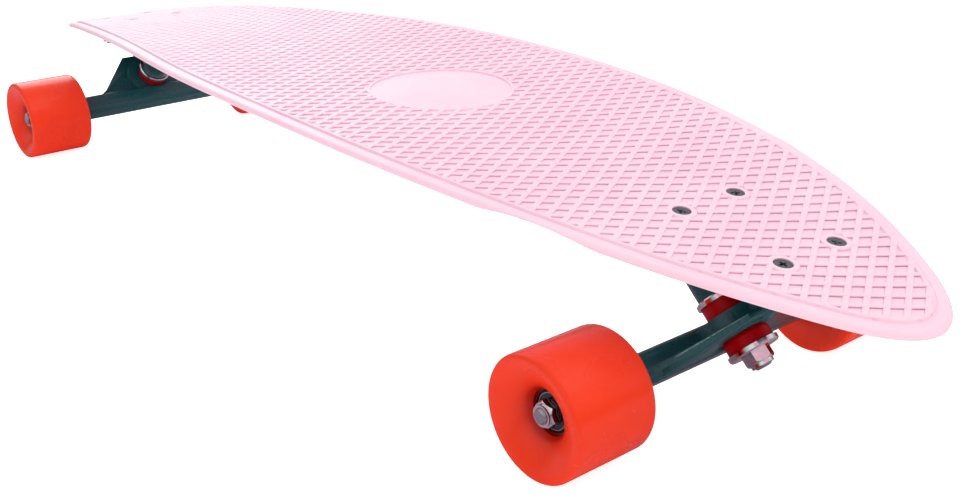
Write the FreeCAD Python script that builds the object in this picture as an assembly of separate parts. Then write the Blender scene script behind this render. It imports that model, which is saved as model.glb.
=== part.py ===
import FreeCAD, Part
import math
import os
from FreeCAD import Placement, Rotation, Vector

# Longboard skateboard, millimetres. +X points to the nose, +Y to the left side, +Z up.
# The origin is on the ground, below the middle of the deck.

# Deck: moulded plastic, arched along its length and dished across its width
deck_length = 914.0
deck_width = 243.0
rim_width = 8.0
rim_depth = 5.4
rim_chamfer = 2.2
rim_under_chamfer = 1.0
tread_step = 1.2
skin_thickness = 3.8
pad_thickness = 10.0
arch_span = 800.0
arch_drop = 28.0
edge_rise = 4.5
arch_quadratic_share = 0.82
dish_taper_share = 0.4
# Half outline from nose to tail, as shares of the half length and the half width
outline_shares = [
    (1.0, 0.0), (0.985, 0.165), (0.965, 0.25), (0.92, 0.375), (0.77, 0.66), (0.6, 0.845),
    (0.4, 0.962), (0.15, 1.0), (-0.1, 0.96), (-0.4, 0.786), (-0.65, 0.62), (-0.85, 0.44),
    (-0.95, 0.292), (-0.985, 0.165), (-1.0, 0.0),
]

# Deck underside: a wall inside the rim and a flat pad for each truck
wall_thickness = 3.0
pad_margin = 5.0
pad_root = 7.6

# Wheel reliefs under the front rim
relief_place_share = 0.65
relief_length = 66.0
relief_depth = 2.4
relief_reach = 14.0

# Truck fixing
bolt_spacing_x = 63.5
bolt_spacing_y = 41.3
truck_place_share = 0.7733
bolt_radius = 2.5
bolt_head_radius = 4.8
bolt_head_height = 2.9
bolt_recess = 0.3
bolt_point = 2.0
fix_nut_flats = 9.5
fix_nut_height = 5.0
bolt_hole_clearance = 0.25

# Truck geometry
truck_height = 62.9
axle_inset = 12.1
steer_deg = 54.7
ring_reach = 20.0
pivot_reach = 37.0

# Wheels and axle
wheel_radius = 32.5
wheel_width = 51.0
wheel_y = 104.2
wheel_lip_round = 2.5
wheel_lip_width = 5.0
wheel_dish_radius = 13.0
wheel_dish_rise = 1.5
axle_radius = 4.0
axle_point = 1.2
axle_chamfer = 0.8
axle_nut_flats = 12.7
axle_nut_height = 6.0
axle_nut_collar = 1.6
washer_thickness = 1.0
washer_radius = 6.4

# Ball bearing of the common 22 x 8 x 7 size
bearing_radius = 11.0
bearing_width = 7.0
bearing_gap = 10.0
inner_race_radius = 5.7
outer_race_inner_radius = 9.7
ball_ring_width = 3.9
shield_thickness = 0.4
shield_inset = 0.3
spacer_radius = 5.2
hub_ridge_radius = 8.8

# Hanger casting: its ring lies between two faces, measured from the steering axis
ring_face_board = 5.5
ring_face_road = 6.5
ring_boss_radius = 22.0
ring_bore_radius = 8.0
beam_depth = 17.0
beam_round = 4.0
beam_half_span = 76.5
collar_radius = 8.6
collar_end_radius = 7.0
collar_root = 3.0
flange_root_half = 56.0
flange_tip_u = 16.0
flange_tip_half = 13.0
flange_offset = 5.0
flange_thickness = 3.5
pivot_nose_radius = 6.5
pivot_root_radius = 8.5
pivot_root_u = 18.0
pivot_neck_radius = 5.8

# Kingpin stack
kingpin_radius = 4.75
kingpin_point = 1.0
kingpin_chamfer = 0.8
kingpin_head_flats = 14.3
kingpin_head_height = 6.0
kingpin_head_back = 14.0
kingpin_nut_flats = 14.3
kingpin_nut_height = 8.0
kingpin_nut_collar = 1.8
bushing_board_height = 10.1
bushing_road_height = 9.2
bushing_radius = 12.8
bushing_end_radius = 12.2
cup_washer_thickness = 1.6
cup_washer_radius = 14.2
cup_washer_rim = 1.5
cup_washer_wall = 1.2
cup_washer_chamfer = 0.8
bushing_taper = 1.5

# Baseplate casting
base_inboard = 44.0
base_outboard = 44.0
base_half_width = 29.0
base_thickness = 6.0
base_corner = 12.0
base_edge_chamfer = 1.2
boss_radius = 12.0
boss_half_width = 12.5
boss_depth = 25.0
pivot_boss_wall = 3.0
pivot_boss_end = 4.0
pivot_web_half = 8.0
pivot_web_share = 0.6
cup_wall = 2.0
cup_lip = 2.0
cup_floor = 2.0

# Clearances and the overrun of every cut
running_clearance = 0.3
fit_clearance = 0.03
ball_clearance = 0.05
overrun = 3.0

half_length = deck_length / 2
half_width = deck_width / 2
truck_x = truck_place_share * half_length
relief_x = relief_place_share * half_length


def arch_fall(x):
    """Drop of the deck's middle line below its highest point."""
    u = 2 * x / arch_span
    return arch_drop * (arch_quadratic_share * u ** 2 + (1 - arch_quadratic_share) * u ** 4)


def arch_slope(x):
    """Downward slope of the middle line towards the nose."""
    u = 2 * x / arch_span
    rate = 2 * arch_quadratic_share * u + 4 * (1 - arch_quadratic_share) * u ** 3
    return arch_drop * rate * 2 / arch_span


# Places that follow from the sizes above
pad_deg = math.degrees(math.atan(arch_slope(truck_x)))
pad_sin = math.sin(math.radians(pad_deg))
pad_cos = math.cos(math.radians(pad_deg))
pad_z = wheel_radius + truck_height * pad_cos - axle_inset * pad_sin
axle_x = truck_x - axle_inset * pad_cos - truck_height * pad_sin
deck_top_z = pad_z + pad_thickness / pad_cos + arch_fall(truck_x)
steer_ground_deg = steer_deg - pad_deg
steer_u = Vector(math.cos(math.radians(steer_ground_deg)), 0, math.sin(math.radians(steer_ground_deg)))
ring_centre = Vector(axle_x, 0, wheel_radius) + steer_u * ring_reach
truck_place = Placement(Vector(truck_x, 0, pad_z), Rotation(Vector(0, 1, 0), pad_deg))
ring_place = Placement(ring_centre, Rotation(Vector(0, 1, 0), -steer_ground_deg))
ring_in_truck = truck_place.inverse().multiply(ring_place)
rear_turn = Placement(Vector(0, 0, 0), Rotation(Vector(0, 0, 1), 180))

# Stations along the kingpin, from the ring's middle: plus is the deck side, minus the road side
board_washer_n = ring_face_board + bushing_board_height
boss_seat_n = board_washer_n + cup_washer_thickness
road_washer_n = -ring_face_road - bushing_road_height
nut_n = road_washer_n - cup_washer_thickness
pin_end_n = nut_n - kingpin_nut_height - kingpin_point
head_n = boss_seat_n + kingpin_head_back

# Stations along the axle, from the middle of the board
bearing_pack = bearing_gap + 2 * bearing_width
hanger_end_y = wheel_y - bearing_pack / 2 - washer_thickness
nut_y = wheel_y + bearing_pack / 2 + washer_thickness
axle_end_y = nut_y + axle_nut_height + axle_point


def save(shape, name):
    """Write one node, made of one or more separate solids."""
    shape.exportStep(os.path.join("parts", name + ".step"))


def polygon_face(points):
    """Plane face inside a closed row of points."""
    return Part.Face(Part.makePolygon(points + points[:1]))


def turned(profile, axis):
    """Solid of revolution from (radius, height) points about an axis through the origin."""
    if axis == "Y":
        face = polygon_face([Vector(r, h, 0) for r, h in profile])
        return face.revolve(Vector(0, 0, 0), Vector(0, 1, 0), 360)
    face = polygon_face([Vector(r, 0, h) for r, h in profile])
    return face.revolve(Vector(0, 0, 0), Vector(0, 0, 1), 360)


def hexagon(flats, height, base):
    """Hexagonal prism standing on a base point along Z."""
    corner = flats / math.sqrt(3)
    points = [Vector(corner, 0, 0)]
    for k in range(1, 6):
        angle = math.radians(60 * k)
        points.append(Vector(corner * math.cos(angle), corner * math.sin(angle), 0))
    prism = polygon_face(points).extrude(Vector(0, 0, height))
    prism.translate(base)
    return prism


def lock_nut(flats, height, collar, bore):
    """Hex nut with a round locking collar, standing on z = 0."""
    body = hexagon(flats, height - collar, Vector(0, 0, 0))
    cone_top = flats / 2
    cone = Part.makeCone(cone_top + height, cone_top, height, Vector(0, 0, -collar), Vector(0, 0, 1))
    body = body.common(cone)
    ring = Part.makeCylinder(flats / 2 - collar / 2, height)
    hole = Part.makeCylinder(bore, height + overrun, Vector(0, 0, -overrun / 2))
    return body.fuse(ring).cut(hole).removeSplitter()


def moved(shape, place):
    """Copy of a shape carried by a placement."""
    copy = shape.copy()
    copy.Placement = place.multiply(copy.Placement)
    return copy


# Deck surfaces

def deck_height(x, y):
    """Top of the tread at a place on the deck."""
    reach = half_width * (1 - dish_taper_share * (x / half_length) ** 2)
    return deck_top_z - arch_fall(x) + edge_rise * (y / reach) ** 2


def deck_skin():
    """Curved face that holds the deck's top, larger than its outline."""
    columns = 15
    rows = 7
    span_x = half_length + overrun
    span_y = half_width + overrun
    grid = []
    for i in range(columns):
        x = span_x * (2 * i / (columns - 1) - 1)
        line = []
        for j in range(rows):
            y = span_y * (2 * j / (rows - 1) - 1)
            line.append(Vector(x, y, deck_height(x, y)))
        grid.append(line)
    surface = Part.BSplineSurface()
    surface.interpolate(grid)
    return surface.toShape()


def slab(skin, top, bottom):
    """Solid between two depths below the deck's top."""
    face = skin.copy()
    face.translate(Vector(0, 0, -bottom))
    return face.extrude(Vector(0, 0, bottom - top))


def outline_curve(inset):
    """Closed outline of the deck in plan, drawn in by an inset."""
    length = half_length - inset
    width = half_width - inset
    left = [Vector(sx * length, sy * width, 0) for sx, sy in outline_shares]
    right = [Vector(point.x, -point.y, 0) for point in reversed(left[1:-1])]
    curve = Part.BSplineCurve()
    curve.interpolate(Points=left + right, PeriodicFlag=True)
    return curve


def outline_prism(inset):
    """Upright prism of the deck's outline, drawn in by an inset."""
    face = Part.Face(Part.Wire([outline_curve(inset).toShape()]))
    return face.extrude(Vector(0, 0, deck_top_z + edge_rise + overrun))


def rim_edges(shape, depth):
    """Edges of the rim that lie at one depth below the deck's top."""
    found = []
    for edge in shape.Edges:
        middle = edge.valueAt((edge.FirstParameter + edge.LastParameter) / 2)
        long_edge = edge.Length > half_width
        if long_edge and abs(deck_height(middle.x, middle.y) - depth - middle.z) < rim_under_chamfer:
            found.append(edge)
    return found


def truck_bolts():
    """Centres of one truck's four bolts, in the truck's own frame."""
    return [Vector(sx * bolt_spacing_x / 2, sy * bolt_spacing_y / 2, 0) for sx in (-1, 1) for sy in (-1, 1)]


def bolt_top(bolt):
    """Height of the deck's top above the truck's pad at a bolt."""
    spot = truck_place.multVec(bolt)
    return (deck_height(spot.x, spot.y) - spot.z) * pad_cos


def truck_pair(shape):
    """A deck feature made for the front truck and turned round for the rear one."""
    front = moved(shape, truck_place)
    return [front, moved(front, rear_turn)]


def outline_share_at(x):
    """Half width of the outline at a place, as a share of the half width."""
    share = x / half_length
    for (x1, y1), (x2, y2) in zip(outline_shares, outline_shares[1:]):
        if x2 <= share <= x1:
            return y1 + (y2 - y1) * (x1 - share) / (x1 - x2)
    return 0.0


def wheel_relief(side):
    """Shallow scoop under the front rim, above one wheel."""
    radius = (relief_length ** 2 / 4 + relief_depth ** 2) / (2 * relief_depth)
    edge_y = half_width * outline_share_at(relief_x)
    top = deck_height(relief_x, edge_y) - rim_depth + relief_depth
    length = relief_reach + 2 * overrun
    start = Vector(relief_x, side * (edge_y - relief_reach), top - radius)
    return Part.makeCylinder(radius, length, start, Vector(0, side, 0))


def bolt_holes():
    """Bolt holes of both trucks with the sinks for the bolt heads."""
    holes = []
    hole_radius = bolt_radius + bolt_hole_clearance
    head = bolt_head_radius + bolt_hole_clearance
    for bolt in truck_bolts():
        top = bolt_top(bolt) - bolt_recess
        hole = Part.makeCylinder(hole_radius, top + 2 * overrun, bolt - Vector(0, 0, overrun))
        sink_foot = bolt + Vector(0, 0, top - bolt_head_height)
        sink = Part.makeCone(hole_radius, head, bolt_head_height, sink_foot)
        mouth = Part.makeCylinder(head, overrun, bolt + Vector(0, 0, top))
        holes += truck_pair(hole.fuse([sink, mouth]))
    return holes


def make_deck():
    """Arched deck with its rim, tread field, hollow underside, truck pads, bolt holes and wheel reliefs."""
    skin = deck_skin()
    body = slab(skin, tread_step, rim_depth).common(outline_prism(0)).Solids[0]
    body = body.makeChamfer(rim_chamfer, rim_edges(body, tread_step))
    body = body.makeChamfer(rim_under_chamfer, rim_edges(body, rim_depth))
    field = slab(skin, 0, skin_thickness).common(outline_prism(rim_width))
    body = body.fuse(field)
    hollow = slab(skin, skin_thickness, rim_depth + overrun)
    body = body.cut(hollow.common(outline_prism(rim_width + wall_thickness)))
    pad_half_x = base_outboard + pad_margin
    pad_half_y = base_half_width + pad_margin
    pad = Part.makeBox(2 * pad_half_x, 2 * pad_half_y, pad_root, Vector(-pad_half_x, -pad_half_y, 0))
    body = body.fuse(truck_pair(pad))
    return body.cut(bolt_holes() + [wheel_relief(side) for side in (-1, 1)]).removeSplitter()


# Wheels and bearings, made about the origin with the axle along Y

def two_sided(profile):
    """Profile closed by its own mirror across the middle."""
    return profile + [(r, -h) for r, h in reversed(profile)]


def make_wheel():
    """Cast wheel with dished faces, rounded lips and two bearing seats."""
    seat = bearing_radius + fit_clearance
    hub = bearing_pack / 2 + wheel_dish_rise
    bulge = wheel_lip_round * (1 - math.sqrt(0.5))
    profile = [
        (hub_ridge_radius, -bearing_gap / 2),
        (seat, -bearing_gap / 2),
        (seat, -hub),
        (wheel_dish_radius, -hub),
        (wheel_radius - wheel_lip_width, -wheel_width / 2),
        (wheel_radius - wheel_lip_round, -wheel_width / 2),
        (wheel_radius - bulge, bulge - wheel_width / 2),
        (wheel_radius, wheel_lip_round - wheel_width / 2),
    ]
    return turned(two_sided(profile), "Y")


def ring_about_axle(inner, outer, width, middle):
    """Plain ring about the axle, at a place along it."""
    low = middle - width / 2
    high = middle + width / 2
    return turned([(inner, low), (outer, low), (outer, high), (inner, high)], "Y")


def bearing_middles():
    """Places of the two bearings along the axle."""
    reach = (bearing_gap + bearing_width) / 2
    return [-reach, reach]


def make_outer_races():
    """Outer rings of a wheel's two bearings."""
    bore = outer_race_inner_radius
    return [ring_about_axle(bore, bearing_radius, bearing_width, m) for m in bearing_middles()]


def make_inner_races():
    """Inner rings of a wheel's two bearings."""
    bore = axle_radius + fit_clearance
    return [ring_about_axle(bore, inner_race_radius, bearing_width, m) for m in bearing_middles()]


def make_shields():
    """Thin shields on both faces of each bearing."""
    reach = bearing_width / 2 - shield_inset - shield_thickness / 2
    inner = inner_race_radius + running_clearance
    outer = outer_race_inner_radius - fit_clearance
    rings = []
    for middle in bearing_middles():
        for side in (-1, 1):
            rings.append(ring_about_axle(inner, outer, shield_thickness, middle + side * reach))
    return rings


def make_ball_rings():
    """Plain rings that stand for the balls and cages of the bearings."""
    inner = inner_race_radius + ball_clearance
    outer = outer_race_inner_radius - ball_clearance
    return [ring_about_axle(inner, outer, ball_ring_width, m) for m in bearing_middles()]


def make_spacer():
    """Tube between the two bearings."""
    return ring_about_axle(axle_radius + fit_clearance, spacer_radius, bearing_gap, 0)


# Truck castings and hardware, made in the ring's frame or the truck's frame

def along_u(radius, start, length):
    """Cylinder about the steering axis."""
    return Part.makeCylinder(radius, length, Vector(start, 0, 0), Vector(1, 0, 0))


def hanger_flange():
    """Thin flange that runs from the beam to the ring on both sides."""
    left = [
        Vector(-ring_reach, flange_root_half, -flange_offset),
        Vector(beam_depth / 2 - ring_reach, flange_root_half, -flange_offset),
        Vector(flange_tip_u, flange_tip_half, -flange_offset),
    ]
    right = [Vector(point.x, -point.y, point.z) for point in reversed(left)]
    return polygon_face(left + right).extrude(Vector(0, 0, flange_thickness))


def make_hanger():
    """Hanger casting: beam, flange, ring and pivot nose."""
    corner = Vector(-ring_reach - beam_depth / 2, -beam_half_span, -beam_depth / 2)
    beam = Part.makeBox(beam_depth, 2 * beam_half_span, beam_depth, corner)
    beam = beam.makeFillet(beam_round, [edge for edge in beam.Edges if edge.Length > beam_half_span])
    ring_height = ring_face_board + ring_face_road
    ring = Part.makeCylinder(ring_boss_radius, ring_height, Vector(0, 0, -ring_face_road))
    neck_length = pivot_reach - pivot_root_u
    neck_start = Vector(pivot_root_u, 0, 0)
    neck = Part.makeCone(pivot_root_radius, pivot_neck_radius, neck_length, neck_start, Vector(1, 0, 0))
    nose = Part.makeSphere(pivot_nose_radius, Vector(pivot_reach, 0, 0))
    collars = []
    for side in (-1, 1):
        start = Vector(-ring_reach, side * (beam_half_span - collar_root), 0)
        length = hanger_end_y - beam_half_span + collar_root
        collars.append(Part.makeCone(collar_radius, collar_end_radius, length, start, Vector(0, side, 0)))
    body = beam.fuse([hanger_flange(), ring, neck, nose] + collars)
    cuts = [Part.makeCylinder(ring_bore_radius, 2 * beam_depth, Vector(0, 0, -beam_depth))]
    room = cup_washer_radius + running_clearance
    cuts.append(Part.makeCylinder(room, beam_depth, Vector(0, 0, ring_face_board)))
    cuts.append(Part.makeCylinder(room, beam_depth, Vector(0, 0, -ring_face_road - beam_depth)))
    bore_start = Vector(-ring_reach, -hanger_end_y - overrun, 0)
    bore = axle_radius + fit_clearance
    cuts.append(Part.makeCylinder(bore, 2 * (hanger_end_y + overrun), bore_start, Vector(0, 1, 0)))
    return body.cut(cuts).removeSplitter()


def make_axle():
    """Axle rod with chamfered ends."""
    start = Vector(-ring_reach, -axle_end_y, 0)
    rod = Part.makeCylinder(axle_radius, 2 * axle_end_y, start, Vector(0, 1, 0))
    ends = [edge for edge in rod.Edges if isinstance(edge.Curve, Part.Circle)]
    return rod.makeChamfer(axle_chamfer, ends)


def on_axle(shape, y, turn):
    """Part standing along Z, laid along the axle at a place."""
    return moved(shape, Placement(Vector(-ring_reach, y, 0), Rotation(Vector(1, 0, 0), turn)))


def make_axle_nuts():
    """Lock nuts at both ends of the axle."""
    nut = lock_nut(axle_nut_flats, axle_nut_height, axle_nut_collar, axle_radius + fit_clearance)
    return [on_axle(nut, nut_y, -90), on_axle(nut, -nut_y, 90)]


def make_speed_washers():
    """Thin washers on both sides of each wheel's bearings."""
    bore = axle_radius + fit_clearance
    profile = [(bore, 0), (washer_radius, 0), (washer_radius, washer_thickness), (bore, washer_thickness)]
    washer = turned(profile, "Z")
    places = []
    for y in (hanger_end_y, nut_y - washer_thickness):
        places.append(on_axle(washer, y, -90))
        places.append(on_axle(washer, -y, 90))
    return places


def make_kingpin():
    """Kingpin bolt with its hex head on the deck side."""
    pin = Part.makeCylinder(kingpin_radius, head_n - pin_end_n, Vector(0, 0, pin_end_n))
    low = min(pin.Edges, key=lambda edge: edge.CenterOfMass.z)
    pin = pin.makeChamfer(kingpin_chamfer, [low])
    return pin.fuse(kingpin_hex(kingpin_head_flats, kingpin_head_height)).removeSplitter()


def kingpin_hex(flats, height):
    """Hexagon at the kingpin's head with a flat towards the pivot."""
    prism = hexagon(flats, height, Vector(0, 0, head_n))
    prism.rotate(Vector(0, 0, 0), Vector(0, 0, 1), 30)
    return prism


def make_kingpin_nut():
    """Lock nut on the road side of the stack."""
    bore = kingpin_radius + fit_clearance
    nut = lock_nut(kingpin_nut_flats, kingpin_nut_height, kingpin_nut_collar, bore)
    return moved(nut, Placement(Vector(0, 0, nut_n), Rotation(Vector(1, 0, 0), 180)))


def make_cup_washer(start, side):
    """Cup washer whose rim turns towards the bushing."""
    bore = kingpin_radius + fit_clearance
    wall = cup_washer_radius - cup_washer_wall
    back = start + side * cup_washer_thickness
    rim = start - side * cup_washer_rim
    profile = [
        (bore, start), (wall, start), (wall, rim), (cup_washer_radius, rim),
        (cup_washer_radius, back - side * cup_washer_chamfer),
        (cup_washer_radius - cup_washer_chamfer, back), (bore, back),
    ]
    return turned(profile, "Z")


def make_bushing(start, end):
    """Barrel bushing between the hanger's seat and its washer."""
    side = math.copysign(1, end - start)
    near = start + side * running_clearance
    bore = kingpin_radius + running_clearance
    profile = [
        (bore, near), (bushing_end_radius, near), (bushing_radius, near + side * bushing_taper),
        (bushing_radius, end - side * bushing_taper), (bushing_end_radius, end), (bore, end),
    ]
    return turned(profile, "Z")


def kingpin_boss():
    """Round boss along the kingpin with the block behind it, in the truck's frame."""
    root = -base_thickness / 2
    seat = ring_in_truck.multVec(Vector(0, 0, boss_seat_n))
    high = ring_in_truck.multVec(Vector(boss_radius, 0, boss_seat_n))
    tall = (root - seat.z) / math.sin(math.radians(90 - steer_deg))
    post = Part.makeCylinder(boss_radius, tall, Vector(0, 0, boss_seat_n))
    corner = Vector(-base_inboard, -boss_half_width, -boss_depth)
    block = Part.makeBox(high.x + base_inboard, 2 * boss_half_width, boss_depth + root, corner)
    far_corner = Vector(-2 * base_inboard, -half_width, -half_width)
    inboard = Part.makeBox(base_inboard, deck_width, deck_width, far_corner)
    return block.fuse(moved(post, ring_in_truck)).cut(inboard)


def pivot_boss():
    """Boss of the baseplate that holds the pivot cup, with its web, in the truck's frame."""
    radius = pivot_nose_radius + cup_wall + pivot_boss_wall
    start = pivot_reach - cup_lip
    end = pivot_reach + pivot_nose_radius + cup_floor + pivot_boss_end
    boss = moved(along_u(radius, start, end - start), ring_in_truck)
    root = -base_thickness / 2
    near = ring_in_truck.multVec(Vector(start, 0, pivot_web_share * radius))
    far = ring_in_truck.multVec(Vector(end, 0, -pivot_web_share * radius))
    web = polygon_face([near, Vector(near.x, 0, root), Vector(far.x, 0, root), far])
    web.translate(Vector(0, -pivot_web_half, 0))
    return boss.fuse(web.extrude(Vector(0, 2 * pivot_web_half, 0)))


def make_baseplate():
    """Baseplate casting: plate, kingpin boss and pivot boss, in the truck's frame."""
    length = base_inboard + base_outboard
    corner = Vector(-base_inboard, -base_half_width, -base_thickness)
    plate = Part.makeBox(length, 2 * base_half_width, base_thickness, corner)
    plate = plate.makeFillet(base_corner, [edge for edge in plate.Edges if edge.Length < base_corner])
    low = [edge for edge in plate.Edges if edge.BoundBox.ZMax < -base_thickness / 2]
    plate = plate.makeChamfer(base_edge_chamfer, low)
    body = plate.fuse([kingpin_boss(), pivot_boss()])
    above = Part.makeBox(2 * length, 2 * length, length, Vector(-length, -length, 0))
    cuts = [above]
    for bolt in truck_bolts():
        foot = bolt - Vector(0, 0, length / 2)
        cuts.append(Part.makeCylinder(bolt_radius + bolt_hole_clearance, length, foot))
    pin_hole = Part.makeCylinder(kingpin_radius + fit_clearance, head_n, Vector(0, 0, 0))
    cuts.append(moved(pin_hole, ring_in_truck))
    pocket = kingpin_hex(kingpin_head_flats + 2 * running_clearance, base_inboard)
    cuts.append(moved(pocket, ring_in_truck))
    cup = pivot_nose_radius + cup_wall + fit_clearance
    cup_length = cup_lip + pivot_nose_radius + cup_floor
    cuts.append(moved(along_u(cup, pivot_reach - cup_lip - overrun, cup_length + overrun), ring_in_truck))
    return body.cut(cuts).removeSplitter()


def make_pivot_cup():
    """Plastic cup round the pivot nose, in the ring's frame."""
    length = cup_lip + pivot_nose_radius + cup_floor
    socket = pivot_nose_radius + fit_clearance
    cup = along_u(pivot_nose_radius + cup_wall, pivot_reach - cup_lip, length)
    mouth = along_u(socket, pivot_reach - cup_lip - overrun, cup_lip + overrun)
    return cup.cut([mouth, Part.makeSphere(socket, Vector(pivot_reach, 0, 0))]).removeSplitter()


def make_deck_bolts():
    """Countersunk bolts of one truck, in the truck's frame."""
    bolts = []
    end = -base_thickness - fix_nut_height - bolt_point
    for bolt in truck_bolts():
        top = bolt_top(bolt) - bolt_recess
        shank = Part.makeCylinder(bolt_radius, top - end, bolt + Vector(0, 0, end))
        head_foot = bolt + Vector(0, 0, top - bolt_head_height)
        head = Part.makeCone(bolt_radius, bolt_head_radius, bolt_head_height, head_foot)
        bolts.append(shank.fuse(head).removeSplitter())
    return bolts


def make_deck_nuts():
    """Nuts under the baseplate, in the truck's frame."""
    nuts = []
    for bolt in truck_bolts():
        foot = bolt - Vector(0, 0, base_thickness + fix_nut_height)
        nut = hexagon(fix_nut_flats, fix_nut_height, foot)
        hole_foot = foot - Vector(0, 0, overrun)
        hole = Part.makeCylinder(bolt_radius + fit_clearance, fix_nut_height + 2 * overrun, hole_foot)
        nuts.append(nut.cut(hole))
    return nuts


def save_set(shapes, name, place):
    """Write one node whose solids are carried by a placement."""
    if not isinstance(shapes, list):
        shapes = [shapes]
    save(Part.makeCompound([moved(shape, place) for shape in shapes]), name)


def build():
    """Make every node and write it."""
    os.makedirs("parts", exist_ok=True)
    save(make_deck(), "deck")
    in_truck = {
        "baseplate": make_baseplate(),
        "deck_bolts": make_deck_bolts(),
        "deck_nuts": make_deck_nuts(),
    }
    in_ring = {
        "pivot_cup": make_pivot_cup(),
        "kingpin": make_kingpin(),
        "kingpin_nut": make_kingpin_nut(),
        "board_washer": make_cup_washer(board_washer_n, 1),
        "road_washer": make_cup_washer(road_washer_n, -1),
        "board_bushing": make_bushing(ring_face_board, board_washer_n),
        "road_bushing": make_bushing(-ring_face_road, road_washer_n),
        "hanger": make_hanger(),
        "axle": make_axle(),
        "axle_nuts": make_axle_nuts(),
        "speed_washers": make_speed_washers(),
    }
    on_wheel = {
        "wheel": make_wheel(),
        "outer_races": make_outer_races(),
        "inner_races": make_inner_races(),
        "shields": make_shields(),
        "ball_rings": make_ball_rings(),
        "spacer": make_spacer(),
    }
    for end, turn, along in (("front", Placement(), 1), ("rear", rear_turn, -1)):
        for name, shapes in in_truck.items():
            save_set(shapes, end + "_" + name, turn.multiply(truck_place))
        for name, shapes in in_ring.items():
            save_set(shapes, end + "_" + name, turn.multiply(ring_place))
        for hand, side in (("right", -1), ("left", 1)):
            place = Placement(Vector(along * axle_x, side * wheel_y, wheel_radius), Rotation())
            for name, shapes in on_wheel.items():
                save_set(shapes, end + "_" + hand + "_" + name, place)


build()
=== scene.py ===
"""Longboard skateboard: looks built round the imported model."""

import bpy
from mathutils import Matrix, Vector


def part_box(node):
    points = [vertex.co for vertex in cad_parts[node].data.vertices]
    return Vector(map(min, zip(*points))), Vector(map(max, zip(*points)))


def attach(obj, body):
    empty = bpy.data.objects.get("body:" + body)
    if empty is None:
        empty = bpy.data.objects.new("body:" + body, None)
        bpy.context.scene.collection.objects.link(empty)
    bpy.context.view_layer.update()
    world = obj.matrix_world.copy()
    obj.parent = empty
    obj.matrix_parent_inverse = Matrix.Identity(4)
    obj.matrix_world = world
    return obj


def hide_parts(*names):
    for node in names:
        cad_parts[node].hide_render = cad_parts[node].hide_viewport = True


bl_info = {
    "name": "Longboard skateboard",
    "version": (1, 0, 0),
    "blender": (4, 5, 0),
    "location": "3D View > Sidebar > Longboard",
    "description": "Dresses the packed longboard in its finished forms and colours",
    "category": "Object",
}

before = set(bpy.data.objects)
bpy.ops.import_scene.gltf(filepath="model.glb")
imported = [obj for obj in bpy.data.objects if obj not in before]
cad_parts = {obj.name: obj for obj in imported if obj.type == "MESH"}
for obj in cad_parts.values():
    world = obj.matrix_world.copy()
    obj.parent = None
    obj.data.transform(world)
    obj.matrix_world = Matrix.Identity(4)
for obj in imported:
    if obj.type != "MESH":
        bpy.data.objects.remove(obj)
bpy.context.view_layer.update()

import math

import bmesh
import bpy
import numpy as np
from bpy.props import FloatProperty, FloatVectorProperty, IntProperty, PointerProperty
from mathutils import Matrix, Vector

MM = 0.001
ENDS = (("front", 1), ("rear", -1))
HANDS = ("right", "left")


def metres(*points):
    """Points given in millimetres."""
    return [tuple(value * MM for value in point) for point in points]


def length(label, text, millimetres):
    """Length property with its default given in millimetres."""
    return FloatProperty(name=label, description=text, default=millimetres * MM, unit="LENGTH", precision=5)


def linear(hex_code):
    """Linear colour from an sRGB hex code."""
    parts = [int(hex_code[k:k + 2], 16) / 255 for k in (1, 3, 5)]
    return [c / 12.92 if c <= 0.04045 else ((c + 0.055) / 1.055) ** 2.4 for c in parts]


def colour(label, text, hex_code):
    """Colour property with its default given as an sRGB hex code."""
    return FloatVectorProperty(name=label, description=text, default=linear(hex_code),
                               subtype="COLOR", min=0, max=1)


def rotation(label, text, degrees):
    """Angle property with its default given in degrees."""
    return FloatProperty(name=label, description=text, default=math.radians(degrees), unit="ROTATION")


# Sizes and colours that a user would change

class DeckSizes(bpy.types.PropertyGroup):
    """Sizes of the deck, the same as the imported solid's."""

    board_length: length("Length", "Deck from nose to tail", 914)
    board_width: length("Width", "Deck at its widest place", 243)
    top: length("Top", "Highest point of the middle line", 124.28)
    arch_span: length("Arch span", "Length that the arch drop spans", 800)
    arch_drop: length("Arch drop", "Fall of the middle line over half the span", 28)
    edge_rise: length("Edge rise", "Rise of the edges above the middle line", 4.5)
    rim_width: length("Rim width", "Smooth rim round the tread", 8)
    rim_depth: length("Rim depth", "Bottom of the rim below the tread", 5.4)
    rim_round: length("Rim round", "Radius of the rim's outer round", 2.9)
    rim_step: length("Rim step", "Fall from the tread's border to the rim", 1.2)
    skin: length("Skin", "Thickness between the walls", 3.8)
    wall: length("Wall", "Thickness of the wall in the rim", 3)


class TreadSizes(bpy.types.PropertyGroup):
    """Sizes of the raised tread."""

    pitch_x: length("Pitch along", "Diamond's diagonal along the board", 10.27)
    pitch_y: length("Pitch across", "Diamond's diagonal across the board", 17.1)
    rib_top: length("Rib top", "Width of a rib at its top", 2.9)
    rib_base: length("Rib base", "Width of a rib at its foot", 3.9)
    height: length("Height", "Height of the ribs above the field", 1.0)
    rib_round: length("Rib round", "Round of a rib's upper edges", 0.45)
    shift: FloatProperty(name="Shift", description="First rib's place in shares of a pitch", default=0.77)
    border: length("Border", "Width of the rib round the field", 2.2)
    field_x: length("Round field", "Place of the bare field along the board", 100)
    field_radius: length("Field radius", "Radius of the bare field", 46)
    ring_width: length("Ring width", "Width of the ring round the bare field", 1.8)
    boss_radius: length("Boss radius", "Radius of the flat round each bolt", 7.6)


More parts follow.
